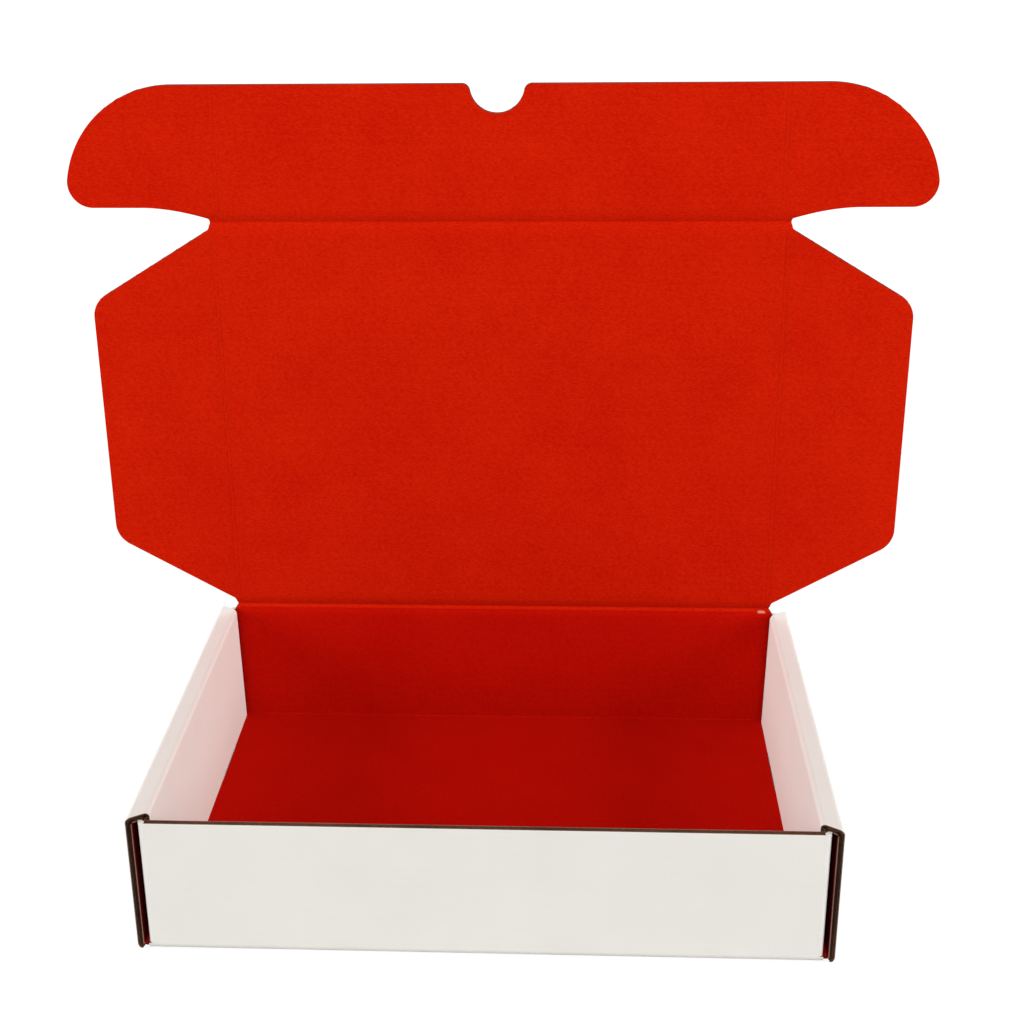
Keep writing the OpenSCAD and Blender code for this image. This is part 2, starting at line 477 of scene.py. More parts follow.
class FluteTree:
    """The node tree that waves a flat sheet into flutes and gives the paper its thickness."""

    def __init__(self) -> None:
        """Build the tree once. Every board uses it with its own material."""
        self.tree = bpy.data.node_groups.new("flutes", "GeometryNodeTree")
        self.sockets: dict[str, str] = {}
        self._interface()
        self._nodes()

    def _interface(self) -> None:
        """Name the tree's inputs and its output."""
        face = self.tree.interface
        face.new_socket("Geometry", in_out="INPUT", socket_type="NodeSocketGeometry")
        kinds = {"Pitch": "NodeSocketFloat", "Paper": "NodeSocketFloat", "Material": "NodeSocketMaterial"}
        for name, kind in kinds.items():
            self.sockets[name] = face.new_socket(name, in_out="INPUT", socket_type=kind).identifier
        face.new_socket("Geometry", in_out="OUTPUT", socket_type="NodeSocketGeometry")

    def _attribute(self, name: str, kind: str) -> bpy.types.NodeSocket:
        """Read a named attribute.

        Args:
            name: The attribute's name.
            kind: Its data type.

        Returns:
            The socket that carries it.
        """
        node = self.tree.nodes.new("GeometryNodeInputNamedAttribute")
        node.data_type = kind
        node.inputs["Name"].default_value = name
        return node.outputs["Attribute"]

    def _nodes(self) -> None:
        """Wave the sheet along its flute_wave attribute, then double it into a closed skin."""
        new, link = self.tree.nodes.new, self.tree.links.new
        source, result = new("NodeGroupInput"), new("NodeGroupOutput")
        turns = add_maths(self.tree, "DIVIDE", self._attribute("flute_wave", "FLOAT"), source.outputs["Pitch"])
        height = add_maths(self.tree, "SINE", add_maths(self.tree, "MULTIPLY", turns, 2 * math.pi))
        offset = new("ShaderNodeVectorMath")
        offset.operation = "SCALE"
        link(self._attribute("flute_reach", "FLOAT_VECTOR"), offset.inputs[0])
        link(height, offset.inputs["Scale"])
        waved = new("GeometryNodeSetPosition")
        link(source.outputs["Geometry"], waved.inputs["Geometry"])
        link(offset.outputs[0], waved.inputs["Offset"])
        thick = new("GeometryNodeExtrudeMesh")
        thick.mode = "FACES"
        thick.inputs["Individual"].default_value = False
        link(waved.outputs[0], thick.inputs["Mesh"])
        link(source.outputs["Paper"], thick.inputs["Offset Scale"])
        flipped = new("GeometryNodeFlipFaces")
        link(waved.outputs[0], flipped.inputs["Mesh"])
        joined = new("GeometryNodeJoinGeometry")
        link(flipped.outputs[0], joined.inputs[0])
        link(thick.outputs["Mesh"], joined.inputs[0])
        closed = new("GeometryNodeMergeByDistance")
        closed.inputs["Distance"].default_value = SEAM
        link(joined.outputs[0], closed.inputs["Geometry"])
        real = new("GeometryNodeRealizeInstances")
        link(closed.outputs[0], real.inputs[0])
        dressed = new("GeometryNodeSetMaterial")
        link(real.outputs[0], dressed.inputs["Geometry"])
        link(source.outputs["Material"], dressed.inputs["Material"])
        link(dressed.outputs[0], result.inputs[0])

    def apply(self, flat: bpy.types.Object, paper: Paper, material: bpy.types.Material) -> None:
        """Turn a flat sheet into flutes, as a plain mesh.

        Args:
            flat: The sheet, with its flute_wave and flute_reach attributes.
            paper: The papers' sizes.
            material: The flutes' material.
        """
        modifier = flat.modifiers.new("flutes", "NODES")
        modifier.node_group = self.tree
        modifier[self.sockets["Pitch"]] = paper.pitch * MM
        modifier[self.sockets["Paper"]] = paper.medium * MM
        modifier[self.sockets["Material"]] = material
        bpy.context.view_layer.update()
        shaped = flat.evaluated_get(bpy.context.evaluated_depsgraph_get())
        waved = bpy.data.meshes.new_from_object(shaped)
        flat.modifiers.remove(modifier)
        old, flat.data = flat.data, waved
        bpy.data.meshes.remove(old)
        waved.materials.clear()
        waved.materials.append(material)


class Shader:
    """A short way to add and link the nodes of a material."""

    def __init__(self, name: str, colour: Colour) -> None:
        """Start a material with its main shader.

        Args:
            name: The material's name.
            colour: Its plain colour.
        """
        self.material = bpy.data.materials.new(name)
        self.material.use_nodes = True
        self.material.diffuse_color = (*colour, 1)
        self.tree = self.material.node_tree
        self.main = self.tree.nodes["Principled BSDF"]
        coordinates = self.tree.nodes.new("ShaderNodeTexCoord")
        self.place = coordinates.outputs["Object"]

    def link(self, source: bpy.types.NodeSocket, target: bpy.types.NodeSocket) -> None:
        """Link two sockets."""
        self.tree.links.new(source, target)

    def maths(self, operation: str, *values: Value) -> bpy.types.NodeSocket:
        """Add a Math node and give its result."""
        return add_maths(self.tree, operation, *values)

    def noise(
        self, size: float, detail: float = 2.0, stretch: Sequence[float] = (1, 1, 1)
    ) -> bpy.types.NodeSocket:
        """Add noise on the piece's own coordinates.

        Args:
            size: The size of its spots in millimetres.
            detail: How many finer layers it has.
            stretch: How much longer its spots are along X, Y and Z.

        Returns:
            The noise, about 0.5 on average.
        """
        mapping = self.tree.nodes.new("ShaderNodeMapping")
        mapping.inputs["Scale"].default_value = [1 / (s * size * MM) for s in stretch]
        self.link(self.place, mapping.inputs["Vector"])
        node = self.tree.nodes.new("ShaderNodeTexNoise")
        node.inputs["Scale"].default_value = 1.0
        node.inputs["Detail"].default_value = detail
        self.link(mapping.outputs[0], node.inputs["Vector"])
        return node.outputs["Fac"]

    def ridges(self, pitch: float) -> bpy.types.NodeSocket:
        """Give a wave from -1 to 1 that follows the flutes under the liner."""
        node = self.tree.nodes.new("ShaderNodeAttribute")
        node.attribute_name = "flute_wave"
        return self.maths("SINE", self.maths("MULTIPLY", node.outputs["Fac"], 2 * math.pi / (pitch * MM)))

    def ramp(self, value: bpy.types.NodeSocket, low: float, high: float) -> bpy.types.NodeSocket:
        """Spread the values between two limits over 0 to 1."""
        node = self.tree.nodes.new("ShaderNodeMapRange")
        self.link(value, node.inputs["Value"])
        node.inputs["From Min"].default_value = low
        node.inputs["From Max"].default_value = high
        return node.outputs[0]

    def mix(
        self, share: bpy.types.NodeSocket, first: Union[Colour, bpy.types.NodeSocket], second: Colour
    ) -> bpy.types.NodeSocket:
        """Mix two colours.

        Args:
            share: How much of the second one shows.
            first: The first colour, or a socket that carries it.
            second: The second colour.

        Returns:
            The mixed colour.
        """
        node = self.tree.nodes.new("ShaderNodeMix")
        node.data_type = "RGBA"
        self.link(share, node.inputs[0])
        if isinstance(first, bpy.types.NodeSocket):
            self.link(first, node.inputs[MIX_FIRST])
        else:
            node.inputs[MIX_FIRST].default_value = (*first, 1)
        node.inputs[MIX_SECOND].default_value = (*second, 1)
        return node.outputs[MIX_RESULT]

    def bump(
        self, height: bpy.types.NodeSocket, depth: float, under: Optional[bpy.types.NodeSocket] = None
    ) -> bpy.types.NodeSocket:
        """Turn a height into a bumped normal.

        Args:
            height: The height, about 0 to 1.
            depth: What a height of 1 is in millimetres.
            under: A normal that is bumped already.

        Returns:
            The bumped normal.
        """
        node = self.tree.nodes.new("ShaderNodeBump")
        node.inputs["Distance"].default_value = depth * MM
        self.link(height, node.inputs["Height"])
        if under is not None:
            self.link(under, node.inputs["Normal"])
        return node.outputs[0]


@dataclass(frozen=True)
class PaperFinish:
    """A paper: its colour, the unevenness of its print, its grain and the ridges that show through."""

    name: str
    colour: Colour
    dark: Colour
    pale: Colour
    roughness: float
    mottle: float = 0.5
    grain: float = 0.35
    grain_depth: float = 0.012
    ridge_shade: float = 0.0
    ridge_depth: float = 0.0
    specular: float = 0.3
    fleck: float = 0.0
    scuffs: Sequence[Point] = ()
    scuff_colour: Colour = (0.62, 0.24, 0.18)
    scuff_reach: Point = (4.5, 1.3)
    scuff_thread: float = 1.3
    scuff_edge: Point = (0.42, 0.5)
    cloud_size: float = 22.0
    fibre_size: float = 0.55
    spread: Point = (0.3, 0.7)
    uneven_size: float = 9.0
    uneven_spread: Point = (0.25, 0.75)
    fleck_size: float = 1.1
    fleck_edge: Point = (0.735, 0.76)

    def _worn(self, shader: Shader, colour: bpy.types.NodeSocket) -> bpy.types.NodeSocket:
        """Rub the print thin at a few places, alike on both halves of the box.

        Args:
            shader: The material's nodes.
            colour: The colour of the whole print.

        Returns:
            The colour with its scuffs.
        """
        split = shader.tree.nodes.new("ShaderNodeSeparateXYZ")
        shader.link(shader.place, split.inputs[0])
        across, up = shader.maths("ABSOLUTE", split.outputs["X"]), split.outputs["Z"]
        threads = shader.noise(self.scuff_thread, 2.0, (3.0, 1.0, 1.0))
        for at in self.scuffs:
            parts = []
            for socket, place, reach in zip((across, up), at, self.scuff_reach):
                away = shader.maths("SUBTRACT", socket, place * MM)
                parts.append(shader.maths("POWER", shader.maths("DIVIDE", away, reach * MM), 2.0))
            near = shader.maths("SUBTRACT", 1.0, shader.maths("ADD", *parts))
            worn = shader.ramp(shader.maths("MULTIPLY", near, threads), *self.scuff_edge)
            colour = shader.mix(worn, colour, self.scuff_colour)
        return colour

    def material(self, pitch: float) -> bpy.types.Material:
        """Make the material.

        Args:
            pitch: The pitch of the flutes in millimetres.

        Returns:
            The material.
        """
        shader = Shader(self.name, self.colour)
        cloud = shader.ramp(shader.noise(self.cloud_size, 3.0), *self.spread)
        fibre = shader.ramp(shader.noise(self.fibre_size, 3.0, (2.2, 1.0, 1.0)), *self.spread)
        shade = shader.maths("MULTIPLY_ADD", cloud, self.mottle, 0.5 - self.mottle / 2)
        shade = shader.maths("MULTIPLY_ADD", shader.maths("SUBTRACT", fibre, 0.5), self.grain, shade)
        if self.ridge_shade:
            ridge = shader.ridges(pitch)
            patches = shader.noise(self.uneven_size, 2.0, (6.0, 1.0, 1.0))
            uneven = shader.ramp(patches, *self.uneven_spread)
            printed = shader.maths("MULTIPLY", shader.maths("MULTIPLY", ridge, self.ridge_shade), uneven)
            shade = shader.maths("ADD", shade, printed)
        colour = shader.mix(shade, self.dark, self.pale)
        if self.fleck:
            spots = shader.ramp(shader.noise(self.fleck_size, 1.0), *self.fleck_edge)
            colour = shader.mix(shader.maths("MULTIPLY", spots, self.fleck), colour, self.dark)
        if self.scuffs:
            colour = self._worn(shader, colour)
        shader.link(colour, shader.main.inputs["Base Color"])
        normal = shader.bump(fibre, self.grain_depth)
        if self.ridge_depth:
            height = shader.maths("MULTIPLY_ADD", shader.ridges(pitch), 0.5, 0.5)
            normal = shader.bump(height, self.ridge_depth, normal)
        shader.link(normal, shader.main.inputs["Normal"])
        shader.main.inputs["Roughness"].default_value = self.roughness
        shader.main.inputs["Specular IOR Level"].default_value = self.specular
        return shader.material


@dataclass(frozen=True)
class Finishes:
    """The materials of the sheet: its printed faces, the paper behind them and its cut edges."""

    paper: Paper
    prints: dict[Face, bpy.types.Material]
    # The tray's red print, darker as painted shade.
    deep: bpy.types.Material
    cuts: dict[Face, bpy.types.Material]
    # The hidden red print in the side walls, painted dark as shade.
    inside: bpy.types.Material
    # The liners' hidden sides, in kraft darkened partly as painted shade of the flute hollows.
    back: bpy.types.Material
    # The fluted paper, in kraft darkened partly as painted shade of its hollows.
    flutes: bpy.types.Material

    @classmethod
    def make(cls, paper: Paper, scuffs: Sequence[Point]) -> "Finishes":
        """Make every material once.

        Args:
            paper: The papers' sizes.
            scuffs: The X and Z of the worn places of the red print, in millimetres.

        Returns:
            The materials.
        """
        white = PaperFinish(
            "white_print", (0.8, 0.78, 0.735), (0.775, 0.75, 0.7), (0.815, 0.8, 0.76), 0.75,
            mottle=0.35, grain=0.12, grain_depth=0.006, ridge_shade=0.05, ridge_depth=0.01, fleck=0.1,
        )
        red = PaperFinish(
            "red_print", (0.54, 0.0095, 0.0006), (0.47, 0.0045, 0.0002), (0.61, 0.016, 0.0012), 0.9,
            mottle=0.22, grain=0.75, grain_depth=0.016, ridge_shade=0.05, ridge_depth=0.012,
            specular=0.02, fleck=0.3, scuffs=scuffs,
        )
        # A darker copy of the red print for the tray's inside: painted shade, where the tray's floor and walls
        # stand in shade.
        deep = replace(
            red, name="tray_red_print_painted_shade",
            colour=(0.46, 0.004, 0.0005), dark=(0.4, 0.002, 0.0003), pale=(0.52, 0.006, 0.0008),
        )
        # The red print on faces hidden in the side walls' gap, painted dark red as the shade that falls there.
        inside = replace(
            red, name="red_print_painted_gap_shade", scuffs=(),
            colour=(0.1, 0.003, 0.003), dark=(0.07, 0.002, 0.002), pale=(0.12, 0.004, 0.004),
        )
        # Kraft brown for the flutes and the liners' hidden sides, darkened below the paper's own colour: partly the
        # paper, partly painted shade of the flute hollows.
        darkened_kraft = PaperFinish(
            "kraft_paper_painted_dark", (0.09, 0.038, 0.016), (0.044, 0.018, 0.008), (0.124, 0.055, 0.025), 0.85,
            mottle=0.5, grain=0.6, grain_depth=0.03, specular=0.1,
        )
        flutes = replace(darkened_kraft, name="flute_paper_painted_dark", dark=(0.038, 0.0145, 0.007), pale=(0.12, 0.049, 0.021))
        cut_white = replace(darkened_kraft, name="cut_white_liner", dark=(0.1, 0.066, 0.05), pale=(0.19, 0.13, 0.1))
        cut_red = replace(darkened_kraft, name="cut_red_liner", dark=(0.14, 0.07, 0.058), pale=(0.25, 0.165, 0.145))
        finishes = (white, red, deep, inside, darkened_kraft, flutes, cut_white, cut_red)
        make = {finish.name: finish.material(paper.pitch) for finish in finishes}
        return cls(
            paper,
            {Face.WHITE: make["white_print"], Face.RED: make["red_print"]},
            make["tray_red_print_painted_shade"],
            {Face.WHITE: make["cut_white_liner"], Face.RED: make["cut_red_liner"]},
            make["red_print_painted_gap_shade"],
            make["kraft_paper_painted_dark"],
            make["flute_paper_painted_dark"],
        )


@dataclass
class Board:
    """A piece of the corrugated sheet, as two printed liners and the flutes between them."""

    name: str
    finishes: Finishes
    tree: FluteTree
    # True where the red face takes the tray's darker red, which is painted shade.
    deep: bool = False
    strips: list[Strip] = field(default_factory=list)
    parts: dict[str, list[Strip]] = field(default_factory=dict)
    cap_share: float = 0.75
    cap_inset: float = 0.06
    sharp_angle: float = math.radians(32)
    weld: float = 2e-6

    @property
    def paper(self) -> Paper:
        """The papers' sizes."""
        return self.finishes.paper

    def add(self, *strips: Strip, part: str = "") -> None:
        """Add strips to the board, with their flutes in the board's own piece or in a part's."""
        self.strips += strips
        self.parts.setdefault(part, []).extend(strips)

    def _share(
        self, strip: Strip, along: float, station: Station, face: Face, deep: bool
    ) -> tuple[Vector, float]:
        """Give a point of a liner.

        Args:
            strip: The strip that it lies in.
            along: The place along the strip's run.
            station: The station across it.
            face: The liner's printed face.
            deep: True for the liner's hidden side, next to the flutes.

        Returns:
            The point in metres, and the distance over the sheet in metres.
        """
        red, white = strip.faces(along, station)
        start, end = (red, white) if face is Face.RED else (white, red)
        thickness = self.paper.liner
        if station.capped and face is strip.cap:
            thickness = (end - start).length * self.cap_share
        point = start + (end - start).normalized() * thickness if deep else start
        return point * MM, strip.wave(along, station) * MM

    def _liner_strip(self, bm: bmesh.types.BMesh, strip: Strip, face: Face) -> None:
        """Add one strip of a liner as a closed skin.

        Args:
            bm: The mesh to add to.
            strip: The strip.
            face: The liner's printed face.
        """
        wave = bm.verts.layers.float["flute_wave"]
        columns, rows = strip.columns(), list(strip.stations)
        grid = {}
        for deep in (False, True):
            for i, station in enumerate(rows):
                for j, along in enumerate(columns):
                    kept = between(along, station.low, station.high)
                    point, distance = self._share(strip, kept, station, face, deep)
                    vert = bm.verts.new(point)
                    vert[wave] = distance
                    grid[deep, i, j] = vert
        last_row, last_column = len(rows) - 1, len(columns) - 1
        # Hidden red faces show the red print painted dark as shade.
        shown = Skin.INSIDE if strip.enclosed_painted_shade and face is Face.RED else Skin.PRINT
        made = []

        def quad(skin: Skin, *keys: tuple[bool, int, int]) -> None:
            """Add one polygon that shows a skin."""
            polygon = bm.faces.new([grid[k] for k in keys])
            polygon.material_index = skin.value
            made.append(polygon)

        for i in range(last_row):
            capped = rows[i].capped and rows[i + 1].capped and face is strip.cap
            for j in range(last_column):
                quad(shown, (False, i, j), (False, i + 1, j), (False, i + 1, j + 1), (False, i, j + 1))
                quad(Skin.BACK, (True, i, j), (True, i, j + 1), (True, i + 1, j + 1), (True, i + 1, j))
            edge = Skin.PRINT if capped else Skin.CUT
            for j in (0, last_column):
                quad(edge, (False, i, j), (True, i, j), (True, i + 1, j), (False, i + 1, j))
        for j in range(last_column):
            for i in (0, last_row):
                quad(Skin.CUT, (False, i, j), (False, i, j + 1), (True, i, j + 1), (True, i, j))
        self._close(bm, list(grid.values()), made)

    def _close(self, bm: bmesh.types.BMesh, verts: list, faces: list) -> None:
        """Weld a strip's own points and turn its faces outwards.

        Args:
            bm: The mesh.
            verts: The strip's points.
            faces: The strip's polygons.
        """
        bmesh.ops.remove_doubles(bm, verts=verts, dist=self.weld)
        kept = [f for f in faces if f.is_valid]
        edges = list({e for f in kept for e in f.edges})
        bmesh.ops.dissolve_degenerate(bm, dist=self.weld / 2, edges=edges)
        kept = [f for f in kept if f.is_valid]
        bmesh.ops.recalc_face_normals(bm, faces=kept)

    def liner(self, face: Face) -> bpy.types.Object:
        """Make one liner.

        Args:
            face: Its printed face.

        Returns:
            The liner's object.
        """
        bm = bmesh.new()
        bm.verts.layers.float.new("flute_wave")
        for strip in self.strips:
            self._liner_strip(bm, strip, face)
        piece = self._object(bm, face.value)
        # The tray's red face shows the darker red, which is painted shade.
        shown = self.finishes.deep if self.deep and face is Face.RED else self.finishes.prints[face]
        for material in (shown, self.finishes.back, self.finishes.cuts[face]):
            piece.data.materials.append(material)
        # The fourth material: the hidden red print, painted dark as shade.
        if face is Face.RED and any(strip.enclosed_painted_shade for strip in self.strips):
            piece.data.materials.append(self.finishes.inside)
        return piece

    def _object(self, bm: bmesh.types.BMesh, ending: str) -> bpy.types.Object:
        """Turn a finished mesh into an object at the origin.

        Args:
            bm: The mesh, which is freed.
            ending: The last words of the object's name.

        Returns:
            The object.
        """
        self._shade(bm)
        mesh = bpy.data.meshes.new(f"{self.name}_{ending}")
        bm.to_mesh(mesh)
        bm.free()
        piece = bpy.data.objects.new(mesh.name, mesh)
        bpy.context.scene.collection.objects.link(piece)
        return piece

    def _shade(self, bm: bmesh.types.BMesh) -> None:
        """Shade smoothly over folds and waves, and sharply at cut edges."""
        for polygon in bm.faces:
            polygon.smooth = True
        for edge in bm.edges:
            flat = len(edge.link_faces) == 2 and edge.calc_face_angle(math.pi) < self.sharp_angle
            edge.smooth = flat

    def _finer(self, strip: Strip) -> list[Station]:
        """Give a strip's stations, with enough between them to follow the flutes.

        Args:
            strip: The strip.

        Returns:
            The stations.
        """
        step = self.paper.pitch / self.paper.samples
        rows = [strip.stations[0]]
        for a, b in zip(strip.stations, strip.stations[1:]):
            count = max(1, math.ceil(abs(b.wave - a.wave) / step)) if strip.wave_along is None else 1
            rows += [a.toward(b, k / count) for k in range(1, count)] + [b]
        return rows

    def flutes(self, part: str) -> bpy.types.Object:
        """Make the fluted paper between the liners of one part.

        Args:
            part: The part's name, or nothing for the board's own strips.

        Returns:
            The flutes' object.
        """
        bm = bmesh.new()
        wave = bm.verts.layers.float.new("flute_wave")
        reach = bm.verts.layers.float_vector.new("flute_reach")
        for strip in self.parts[part]:
            fine = 0.0 if strip.wave_along is None else self.paper.pitch / self.paper.samples
            columns, rows, grid = strip.columns(fine), self._finer(strip), {}
            for i, station in enumerate(rows):
                inset = self.cap_inset if station.capped else 0.0
                for j, along in enumerate(columns):
                    kept = between(along, station.low + inset, station.high - inset)
                    red, white = strip.faces(kept, station)
                    room = (white - red).length - 2 * self.paper.liner - self.paper.medium
                    vert = bm.verts.new((red + white) / 2 * MM)
                    vert[wave] = strip.wave(kept, station) * MM
                    vert[reach] = (white - red).normalized() * (max(room, 0) / 2 * strip.crush * MM)
                    grid[i, j] = vert
            made = [
                bm.faces.new([grid[i, j], grid[i + 1, j], grid[i + 1, j + 1], grid[i, j + 1]])
                for i in range(len(rows) - 1)
                for j in range(len(columns) - 1)
            ]
            self._close(bm, list(grid.values()), made)
        piece = self._object(bm, f"{part}_flutes" if part else "flutes")
        self.tree.apply(piece, self.paper, self.finishes.flutes)
        bm = bmesh.new()
        bm.from_mesh(piece.data)
        bmesh.ops.recalc_face_normals(bm, faces=bm.faces)
        self._shade(bm)
        bm.to_mesh(piece.data)
        bm.free()
        return piece

    def build(self) -> list[bpy.types.Object]:
        """Make the board's two liners, and the flutes of each of its parts."""
        return [self.liner(Face.WHITE), self.liner(Face.RED), *(self.flutes(part) for part in self.parts)]


@dataclass(frozen=True)
class Maker:
    """What every sub-assembly uses: the sizes, the finishes and a way to report its pieces."""

    sizes: Sizes
    finishes: Finishes
    tree: FluteTree

    def board(self, name: str, deep: bool = False) -> Board:
        """Start a board whose pieces have this name, with the tray's darker red, which is painted shade, or
        without.
        """
        return Board(name, self.finishes, self.tree, deep)

    def ride(self, pieces: Sequence[bpy.types.Object], body: str, node: str) -> None:
        """Let pieces move with a body and stand for its node.

        Args:
            pieces: The pieces.
            body: The body that they ride on.
            node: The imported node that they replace.
        """
        for piece in pieces:
            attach(piece, body)
            LOG.info("%s: %d faces, rides on %s", piece.name, len(piece.data.polygons), body)
        for piece in pieces:
            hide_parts(node)

    def bend(self, pieces: Sequence[bpy.types.Object], bodies: tuple[str, str], start: Vector, end: Vector) -> None:
        """Let pieces bend across a crease.

        Args:
            pieces: The pieces.
            bodies: The bodies before and after the crease.
            start: The point at which the first body ends, in millimetres.
            end: The point at which the second body begins.
        """
        for piece in pieces:
            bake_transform(piece, bodies[0], bodies[1], start=start * MM, end=end * MM)
            LOG.info("%s: %d faces, bends from %s to %s", piece.name, len(piece.data.polygons), *bodies)


@dataclass(frozen=True)
class CreaseMark:
    """How far a crease is pressed into the board, in millimetres, at a distance from its line."""

    line_depth: float = 0.3
    line_width: float = 0.6
    dish_depth: float = 0.95
    dish_width: float = 2.3
    outer_depth: float = 0.12
    pair: float = 0.0

    @classmethod
    def faint(cls) -> "CreaseMark":
        """Give the mark of the upright creases, a shallow pair of lines while the flaps are flat."""
        return cls(line_depth=0.17, line_width=0.34, dish_depth=0.03, dish_width=2.0, outer_depth=0.05, pair=0.75)

    def red(self, distance: float) -> float:
        """Give the depth on the red face."""
        line = self.line_depth * math.exp(-(((distance - self.pair) / self.line_width) ** 2))
        return line + self.dish_depth * math.exp(-((distance / self.dish_width) ** 2))

    def white(self, distance: float) -> float:
        """Give the depth on the white face."""
        return self.outer_depth * math.exp(-((distance / (2 * self.line_width)) ** 2))


@dataclass(frozen=True)
class Tray(Maker):
    """The fixed part of the sheet: floor, walls, corner tabs and rolled side walls."""

    top_rows: int = 6
    panel_rows: int = 8
    end_rows: int = 7
    end_step: float = 1.5
    relieved_rows: int = 5
    mark_depths: Sequence[float] = (14, 9, 7, 5.5, 4.2, 3.2, 2.5, 1.8)

    def _fold(self, side: int) -> list[Station]:
        """Give the stations of the fold between the floor and the front or back wall.

        Args:
            side: -1 for the front, 1 for the back.

        Returns:
            The stations, from the floor upwards.
        """
        s = self.sizes
        centre = (-(s.face_y - s.floor_fold_r), s.floor_fold_r)
        outer = arc(centre, s.floor_fold_r, 270, 180, FOLD_STEP)
        inner = arc(centre, s.floor_fold_r - s.board, 270, 180, FOLD_STEP)
        length = (s.floor_fold_r - s.half) * math.pi / 2
        start = s.face_y - s.floor_fold_r
        last = len(outer) - 1
        stations = []
        for i, (r, w) in enumerate(zip(inner, outer)):
            red, white = (-side * r[0], r[1]), (-side * w[0], w[1])
            stations.append(Station(red, white, -s.corner_x, s.corner_x, side * (start + length * i / last)))
        return stations

    def _wall(self, side: int, levels: Sequence[tuple[float, float]]) -> list[Station]:
        """Give the stations of the upright front or back wall.

        Args:
            side: -1 for the front, 1 for the back.
            levels: The height of each station and half of the wall's width there.

        Returns:
            The stations, from the fold upwards.
        """
        s = self.sizes
        outer, inner = side * s.face_y, side * (s.face_y - s.board)
        return [Station((inner, z), (outer, z), -x, x, side * s.wave_at(z)) for z, x in levels]

    def _hinge_edge(self, z: float) -> float:
        """Give half of the back wall's width where it slopes down from the ends of the lid crease."""
        s = self.sizes
        top = s.hinge_z - s.crease_gap
        share = between((z - s.back_h) / (top - s.back_h), 0, 1)
        return s.root_x + (s.crease_out - s.root_x) * share

    def _floor(self) -> list[Strip]:
        """Lay the floor in rows, with the slots for the locking tabs left open."""
        s = self.sizes
        edge, reach = s.face_y - s.floor_fold_r, s.corner_x + s.tab_play
        slot_in, slot_out = s.foot_x - s.lock_play, s.foot_x + s.board + s.lock_play
        half_slot = s.lock_w / 2 + s.lock_play
        front_slot = (-s.lock_y - half_slot, half_slot - s.lock_y)
        back_slot = (s.lock_y - half_slot, s.lock_y + half_slot)
        cuts = [-edge, *front_slot, *back_slot, edge]
        strips = []
        for row, (near, far) in enumerate(zip(cuts, cuts[1:])):
            spans = [(-reach, reach)]
            if row % 2:
                spans = [(-reach, -slot_out), (-slot_in, slot_in), (slot_out, reach)]
            for low, high in spans:
                rows = [Station((y, s.board), (y, 0), low, high, y) for y in (near, far)]
                strips.append(Strip(Run.X, rows))
        return strips

    def _side_wall(self) -> list[Strip]:
        """Roll the right side wall: floor edge, outer panel, rolled top, inner panel, locking tabs."""
        s = self.sizes
        t, fold = s.board, s.fold_r
        start, turn = s.corner_x + s.tab_play, s.side_out - s.floor_fold_r
        lean = s.foot_in * (s.side_h - t) / s.side_h
        under = s.side_h - t
        out_corner, in_corner = (s.side_out - t, under), (s.foot_x + t + lean, under)

        def reach(x: float) -> float:
            """Give half of the length that the rolled top has at a distance from the middle."""
            share = between((s.side_out - s.roll_lip - x) / (s.side_out - s.roll_lip - s.side_in), 0, 1)
            return s.face_y - s.roll_back * share

        rows = [((start, t), (start, 0.0)), ((turn, t), (turn, 0.0))]
        centre = (turn, s.floor_fold_r)
        rows += zip(arc(centre, s.floor_fold_r - t, 270, 360, FOLD_STEP), arc(centre, s.floor_fold_r, 270, 360, FOLD_STEP))
        turned = len(rows)
        rows += [((out_corner[0], s.side_h - fold), (s.side_out, s.side_h - fold))]
        roll = arc((s.side_out - fold, s.side_h - fold), fold, 0, 90, FOLD_STEP)
        rows += [(out_corner, w) for w in roll]
        spread = [i / self.top_rows for i in range(1, self.top_rows)]
        first, last = s.side_out - fold, s.side_in + fold
        rows += [
            ((out_corner[0] + (in_corner[0] - out_corner[0]) * k, under), (first + (last - first) * k, s.side_h))
            for k in spread
        ]
        roll = arc((last, s.side_h - fold), fold, 90, 180, FOLD_STEP)
        rows += [(in_corner, w) for w in roll]
        upper = [Station(r, w, -reach(w[0]), reach(w[0])) for r, w in rows]
        relief = s.face_y - s.floor_fold_r
        for i in range(self.relieved_rows):
            upper[i] = replace(upper[i], low=-relief, high=relief, capped=True)
        foot = Station((s.foot_x + t, t), (s.foot_x, t), -s.roll_end, s.roll_end)
        inner = [upper[-1].toward(foot, k / self.panel_rows) for k in range(self.panel_rows + 1)]
        ends = [s.roll_end - self.end_step * k for k in range(1, self.end_rows + 1)]
        end_steps = [side * end for side in (-1, 1) for end in ends]
        strips = [
            Strip(Run.Y, upper[:turned], wave_along=(0, 1), cap=Face.RED),
            Strip(Run.Y, upper[turned - 1 :], wave_along=(0, 1), enclosed_painted_shade=True),
            Strip(Run.Y, inner, steps=end_steps, wave_along=(0, 1), press=self._tab_room, enclosed_painted_shade=True),
        ]
        for y in (-s.lock_y, s.lock_y):
            low, high = y - s.lock_w / 2, y + s.lock_w / 2
            tab = [Station((s.foot_x + t, z), (s.foot_x, z), low, high) for z in (t, s.lock_rise)]
            strips.append(Strip(Run.Y, tab, wave_along=(0, 1), enclosed_painted_shade=True))
        return strips

    def _tab_room(self, along: float, station: Station) -> Point:
        """Press an inner panel's hidden face in where a corner tab swings past its end."""
        s = self.sizes
        swing = between((along + s.face_y - s.board) / s.tab_swing, 0, 1)
        if along > 0:
            swing = between((s.face_y - s.board - along) / s.tab_swing, 0, 1)
        tab_face = s.root_x + (s.tab_out - s.board - s.root_x) * swing - s.tab_play / 2
        return max(0.0, station.red[0] - tab_face), 0.0

